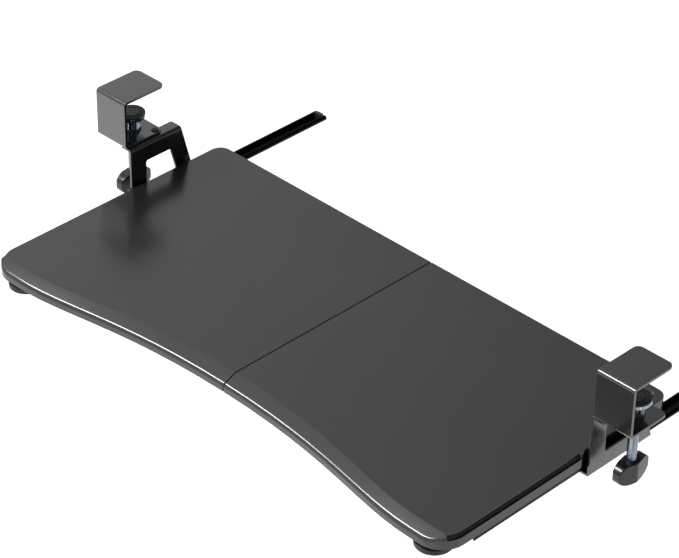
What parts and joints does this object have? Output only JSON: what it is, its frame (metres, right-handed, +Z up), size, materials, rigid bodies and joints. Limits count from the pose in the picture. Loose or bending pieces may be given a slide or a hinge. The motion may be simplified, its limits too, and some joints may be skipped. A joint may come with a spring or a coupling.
{
  "type": "under-desk keyboard tray",
  "caption": "Waved keyboard tray with sloped palm edge, carried on ball slides by two clamp brackets that hook over a desk edge and tighten with wing knobs.",
  "frame": {"origin": "midway between the two clamps, on the top front edge of the desk they hold", "axes": "+X along the desk edge to the sitter's right, +Y back under the desk, +Z up"},
  "size_m": [0.695, 0.4385, 0.1215],
  "materials": {
    "board": "fine satin grain",
    "foot": "matt",
    "knob": "satin",
    "clamp": "satin powder coat",
    "bracket": "semi-gloss",
    "steel": "zinc plated",
    "rail": "zinc plated",
    "ball": "polished",
    "screw": "black oxide",
    "pad": "matt"
  },
  "bodies": {
    "clamps": {"left_clamp_strap": "clamp", "left_desk_pad": "pad", "left_clamp_nut": "steel", "left_side_bracket": "bracket", "left_bracket_rivets": "steel", "left_slide_outer": "rail", "left_slide_rivets": "steel", "left_slide_stop": "pad", "right_clamp_strap": "clamp", "right_desk_pad": "pad", "right_clamp_nut": "steel", "right_side_bracket": "bracket", "right_bracket_rivets": "steel", "right_slide_outer": "rail", "right_slide_rivets": "steel", "right_slide_stop": "pad"},
    "tray": {"left_board": "board", "left_corner_foot": "foot", "left_foot_screw": "screw", "left_slide_inner": "rail", "left_slide_screws": "screw", "right_board": "board", "right_corner_foot": "foot", "right_foot_screw": "screw", "right_slide_inner": "rail", "right_slide_screws": "screw", "front_joining_plate": "rail", "rear_joining_plate": "rail", "joining_screws": "screw"},
    "left_cage": {"left_ball_cage": "rail", "left_balls": "ball"},
    "left_pad": {"left_pressure_pad": "steel", "left_pad_rubber": "pad"},
    "left_screw": {"left_clamp_screw": "steel", "left_wing_knob": "knob"},
    "right_cage": {"right_ball_cage": "rail", "right_balls": "ball"},
    "right_pad": {"right_pressure_pad": "steel", "right_pad_rubber": "pad"},
    "right_screw": {"right_clamp_screw": "steel", "right_wing_knob": "knob"}
  },
  "joints": [
    {"name": "tray_slide", "type": "slide", "parent": "clamps", "child": "tray", "axis": [0, 1, 0], "range_m": [0, 0.14]},
    {"name": "left_cage_roll", "type": "slide", "parent": "clamps", "child": "left_cage", "axis": [0, 1, 0], "range_m": [0, 0.07]},
    {"name": "left_pad_lift", "type": "slide", "parent": "clamps", "child": "left_pad", "axis": [0, 0, 1], "range_m": [-0.01, 0.022]},
    {"name": "left_screw_turn", "type": "hinge", "parent": "left_pad", "child": "left_screw", "pos_m": [-0.3285, 0.0255, -0.0328], "axis": [0, 0, 1], "range_deg": [-2400, 5280]},
    {"name": "right_cage_roll", "type": "slide", "parent": "clamps", "child": "right_cage", "axis": [0, 1, 0], "range_m": [0, 0.07]},
    {"name": "right_pad_lift", "type": "slide", "parent": "clamps", "child": "right_pad", "axis": [0, 0, 1], "range_m": [-0.01, 0.022]},
    {"name": "right_screw_turn", "type": "hinge", "parent": "right_pad", "child": "right_screw", "pos_m": [0.3285, 0.0255, -0.0328], "axis": [0, 0, 1], "range_deg": [-2400, 5280]}
  ],
  "couplings": [
    {"joint": "left_cage_roll", "follows": "tray_slide", "ratio": 0.5},
    {"joint": "left_screw_turn", "follows": "left_pad_lift", "rad_per_m": 4188.8},
    {"joint": "right_cage_roll", "follows": "tray_slide", "ratio": 0.5},
    {"joint": "right_screw_turn", "follows": "right_pad_lift", "rad_per_m": 4188.8}
  ]
}
